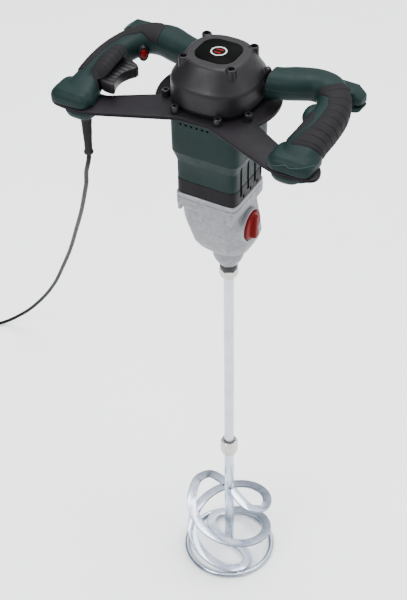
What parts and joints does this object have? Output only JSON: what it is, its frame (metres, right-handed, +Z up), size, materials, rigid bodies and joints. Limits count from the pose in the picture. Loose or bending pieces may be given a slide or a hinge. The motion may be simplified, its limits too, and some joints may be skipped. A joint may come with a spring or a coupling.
{
  "type": "paint mixer",
  "caption": "Upright electric paint mixer: a geared motor head on a steel frame plate between loop handles drives a hex-coupled rod that ends in a ribbon paddle with a bottom ring.",
  "frame": {"origin": "centre of the mixing shaft's bottom end, on the floor", "axes": "+Z up along the mixing rod, +X towards the user's right handle, -Y towards the front corners of the frame plate"},
  "size_m": [0.9761, 0.44, 0.917],
  "materials": {
    "green_plastic": "dark teal green moulded housing plastic, satin",
    "black_plastic": "charcoal moulded plastic, fine texture",
    "frame_paint": "charcoal powder coat on sheet steel",
    "black_steel": "black oxide steel",
    "cast_aluminium": "sand-textured grey casting",
    "zinc_steel": "bright bluish zinc plate",
    "bare_steel": "machined steel",
    "rubber": "soft charcoal overmould",
    "red_plastic": "red moulded plastic",
    "badge_gloss": "glossy black label plate, blank",
    "copper": "copper windings and segments",
    "carbon": "dark brush holder moulding",
    "cord_rubber": "black flexible cord jacket"
  },
  "bodies": {
    "head": {"motor_housing": "green_plastic", "left_handle": "green_plastic", "right_handle": "green_plastic", "left_bumper": "green_plastic", "right_bumper": "green_plastic", "left_front_cap": "green_plastic", "right_front_cap": "green_plastic", "end_cap": "black_plastic", "air_baffle": "black_plastic", "switch_module": "black_plastic", "frame_plate": "frame_paint", "cap_screw_1": "black_steel", "cap_screw_2": "black_steel", "cap_screw_3": "black_steel", "cap_screw_4": "black_steel", "plate_bolt_1": "black_steel", "plate_bolt_2": "black_steel", "plate_bolt_3": "black_steel", "plate_bolt_4": "black_steel", "plate_bolt_5": "black_steel", "plate_bolt_6": "black_steel", "plate_bolt_7": "black_steel", "plate_bolt_8": "black_steel", "left_foot_bolt": "black_steel", "right_foot_bolt": "black_steel", "gearbox_housing": "cast_aluminium", "bearing_plate": "cast_aluminium", "stator": "bare_steel", "armature_bearing_top": "bare_steel", "armature_bearing_bottom": "bare_steel", "spindle_bearing": "bare_steel", "right_grip_sleeve": "rubber", "left_grip_strip": "rubber", "left_finger_pad": "rubber", "spindle_seal": "rubber", "strain_relief": "rubber", "badge_plate": "badge_gloss", "brush_holder_left": "carbon", "brush_holder_right": "carbon", "cord": "cord_rubber", "cord_coil": "cord_rubber", "plug": "cord_rubber"},
    "trigger": {"trigger": "black_plastic"},
    "lock_button": {"lock_button": "red_plastic"},
    "gear_selector": {"gear_selector": "red_plastic"},
    "spindle_drive": {"spindle": "bare_steel", "output_gear": "bare_steel", "spindle_collar": "black_steel", "hex_adaptor": "bare_steel", "upper_rod": "zinc_steel", "coupling_nut": "zinc_steel", "lower_shaft": "zinc_steel", "ribbon_a": "zinc_steel", "ribbon_b": "zinc_steel", "bottom_ring": "zinc_steel"},
    "armature": {"armature_shaft": "bare_steel", "armature_core": "copper", "commutator": "copper", "cooling_fan": "black_plastic"},
    "layshaft": {"layshaft_gear": "bare_steel"}
  },
  "joints": [
    {"name": "spindle_spin", "type": "hinge", "parent": "head", "child": "spindle_drive", "pos_m": [0, 0, 0.6], "axis": [0, 0, 1], "continuous": true},
    {"name": "layshaft_spin", "type": "hinge", "parent": "head", "child": "layshaft", "pos_m": [-0.01696, -0.01338, 0.69], "axis": [0, 0, 1], "continuous": true},
    {"name": "armature_spin", "type": "hinge", "parent": "head", "child": "armature", "pos_m": [0, -0.023, 0.78], "axis": [0, 0, 1], "continuous": true},
    {"name": "trigger_pull", "type": "hinge", "parent": "head", "child": "trigger", "pos_m": [-0.127, -0.036, 0.87], "axis": [0, 0, -1], "range_deg": [0, 8], "stiffness_Nm_per_rad": 0.8, "springref_deg": -6.88},
    {"name": "lock_press", "type": "slide", "parent": "head", "child": "lock_button", "axis": [-0.7071, 0.7071, 0], "range_m": [0, 0.003], "stiffness_N_per_m": 300, "springref_m": -0.001},
    {"name": "selector_turn", "type": "hinge", "parent": "head", "child": "gear_selector", "pos_m": [0.045, -0.023, 0.674], "axis": [1, 0, 0], "range_deg": [0, 180]}
  ],
  "couplings": [
    {"joint": "layshaft_spin", "follows": "spindle_spin", "ratio": -2.6},
    {"joint": "armature_spin", "follows": "spindle_spin", "ratio": 11.886}
  ]
}
